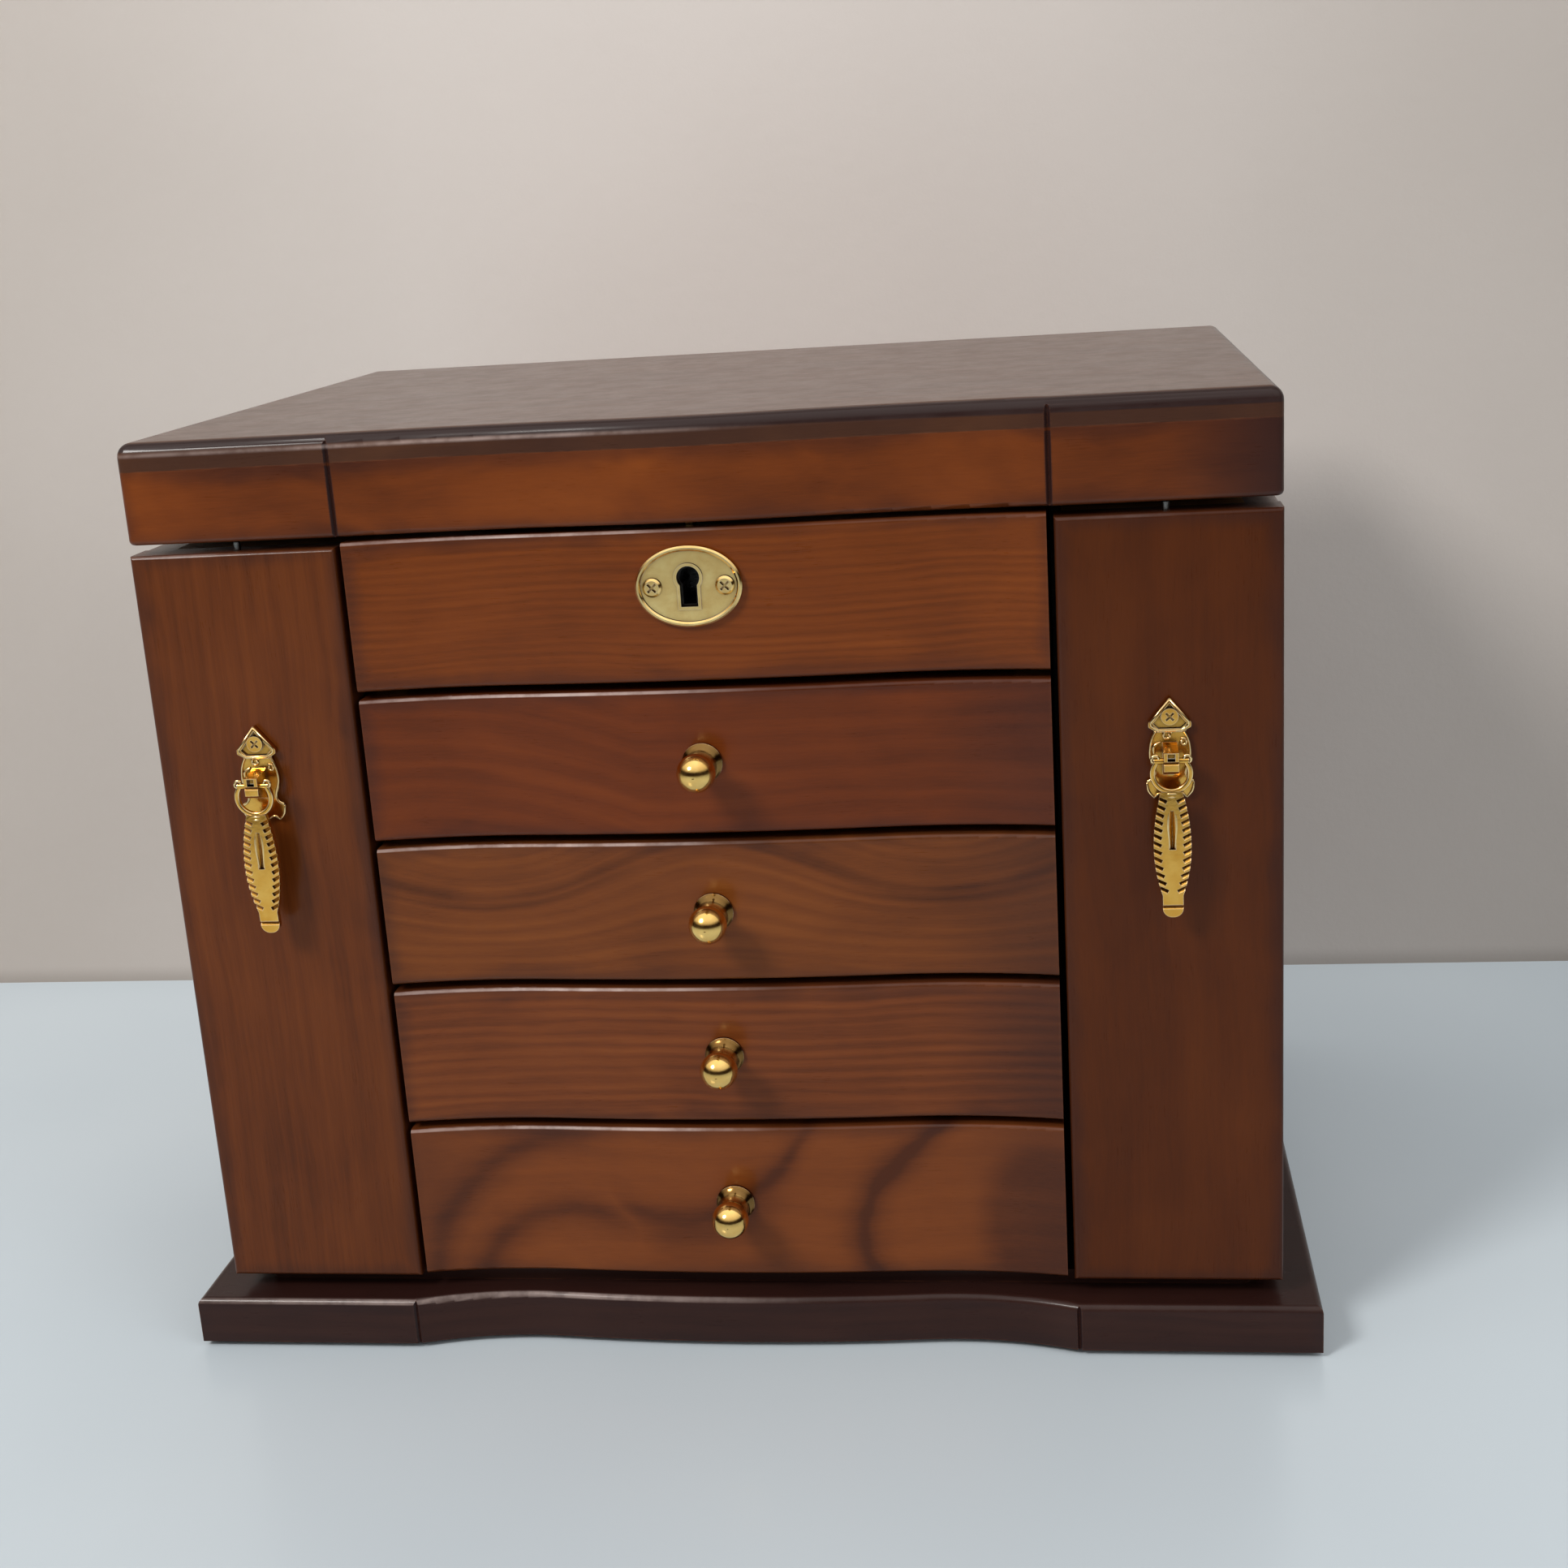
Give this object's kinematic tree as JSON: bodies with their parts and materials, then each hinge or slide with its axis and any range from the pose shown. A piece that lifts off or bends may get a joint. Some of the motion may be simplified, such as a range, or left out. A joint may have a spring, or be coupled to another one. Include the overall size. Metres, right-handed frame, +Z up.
{
  "type": "vanity box",
  "caption": "Wooden vanity box with a lift-up lid holding a mirror, a lined tray, sliding drawers and swing-out side wings for necklaces.",
  "frame": {"origin": "middle of the felt's underside, the face the box rests on", "axes": "+X to the box's right as seen from the front, +Y to the back, +Z up"},
  "size_m": [0.363, 0.2699, 0.2973],
  "materials": {
    "stained_wood": "reddish-brown stain under a satin-gloss lacquer, fine straight and flowing grain",
    "dark_wood": "espresso stain under a satin-gloss lacquer",
    "inner_wood": "thin matt stain",
    "velvet": "short-pile champagne velvet",
    "felt": "pressed felt",
    "polished_brass": "bright polished and lacquered",
    "lock_steel": "plated, lightly brushed",
    "mirror_glass": "silvered glass with a bevelled edge",
    "clear_rubber": "soft translucent pad"
  },
  "bodies": {
    "carcase": {"base_felt": "felt", "base_plinth": "dark_wood", "bottom_board": "stained_wood", "back_panel": "stained_wood", "partitions": "inner_wood", "fascia": "stained_wood", "drawer_runners": "inner_wood", "tray_floor": "inner_wood", "tray_lining": "velvet", "tray_dividers": "velvet", "ring_rolls": "velvet", "lock_case": "lock_steel", "escutcheon": "polished_brass", "escutcheon_screws": "polished_brass", "lid_bumpers": "clear_rubber", "hinge_leaves": "polished_brass", "hinge_pins": "polished_brass"},
    "lid": {"lid_top": "stained_wood", "lid_frame": "stained_wood", "mirror": "mirror_glass", "mirror_frame": "stained_wood", "lid_hinge_leaves": "polished_brass", "strike_plate": "polished_brass"},
    "drawer_1": {"drawer_1_front": "stained_wood", "drawer_1_box": "inner_wood", "drawer_1_lining": "velvet", "drawer_1_knob": "polished_brass"},
    "drawer_2": {"drawer_2_front": "stained_wood", "drawer_2_box": "inner_wood", "drawer_2_lining": "velvet", "drawer_2_knob": "polished_brass"},
    "drawer_3": {"drawer_3_front": "stained_wood", "drawer_3_box": "inner_wood", "drawer_3_lining": "velvet", "drawer_3_knob": "polished_brass"},
    "drawer_4": {"drawer_4_front": "stained_wood", "drawer_4_box": "inner_wood", "drawer_4_lining": "velvet", "drawer_4_knob": "polished_brass"},
    "left_wing": {"left_wing_front": "stained_wood", "left_wing_side": "stained_wood", "left_wing_boards": "inner_wood", "left_wing_lining": "velvet", "left_hook_rail": "inner_wood", "left_hooks": "polished_brass", "left_pull_plate": "polished_brass", "left_lock_pin": "lock_steel", "left_hinge_leaves": "polished_brass"},
    "left_drop": {"left_drop": "polished_brass"},
    "right_wing": {"right_wing_front": "stained_wood", "right_wing_side": "stained_wood", "right_wing_boards": "inner_wood", "right_wing_lining": "velvet", "right_hook_rail": "inner_wood", "right_hooks": "polished_brass", "right_pull_plate": "polished_brass", "right_lock_pin": "lock_steel", "right_hinge_leaves": "polished_brass"},
    "right_drop": {"right_drop": "polished_brass"},
    "lock_bolt": {"lock_bolt": "lock_steel"}
  },
  "joints": [
    {"name": "lid_hinge", "type": "hinge", "parent": "carcase", "child": "lid", "pos_m": [0, 0.1296, 0.2659], "axis": [-1, 0, 0], "range_deg": [0, 100]},
    {"name": "drawer_1_slide", "type": "slide", "parent": "carcase", "child": "drawer_1", "axis": [0, -1, 0], "range_m": [0, 0.15]},
    {"name": "drawer_2_slide", "type": "slide", "parent": "carcase", "child": "drawer_2", "axis": [0, -1, 0], "range_m": [0, 0.15]},
    {"name": "drawer_3_slide", "type": "slide", "parent": "carcase", "child": "drawer_3", "axis": [0, -1, 0], "range_m": [0, 0.15]},
    {"name": "drawer_4_slide", "type": "slide", "parent": "carcase", "child": "drawer_4", "axis": [0, -1, 0], "range_m": [0, 0.15]},
    {"name": "left_wing_hinge", "type": "hinge", "parent": "carcase", "child": "left_wing", "pos_m": [-0.1725, 0.1162, 0.14], "axis": [0, 0, -1], "range_deg": [0, 100]},
    {"name": "right_wing_hinge", "type": "hinge", "parent": "carcase", "child": "right_wing", "pos_m": [0.1725, 0.1162, 0.14], "axis": [0, 0, 1], "range_deg": [0, 100]},
    {"name": "left_drop_swing", "type": "hinge", "parent": "left_wing", "child": "left_drop", "pos_m": [-0.1375, -0.1289, 0.1934], "axis": [-1, 0, 0], "range_deg": [0, 90]},
    {"name": "right_drop_swing", "type": "hinge", "parent": "right_wing", "child": "right_drop", "pos_m": [0.1375, -0.1289, 0.1934], "axis": [-1, 0, 0], "range_deg": [0, 90]},
    {"name": "lock_bolt_slide", "type": "slide", "parent": "carcase", "child": "lock_bolt", "axis": [1, 0, 0], "range_m": [0, 0.005]}
  ]
}
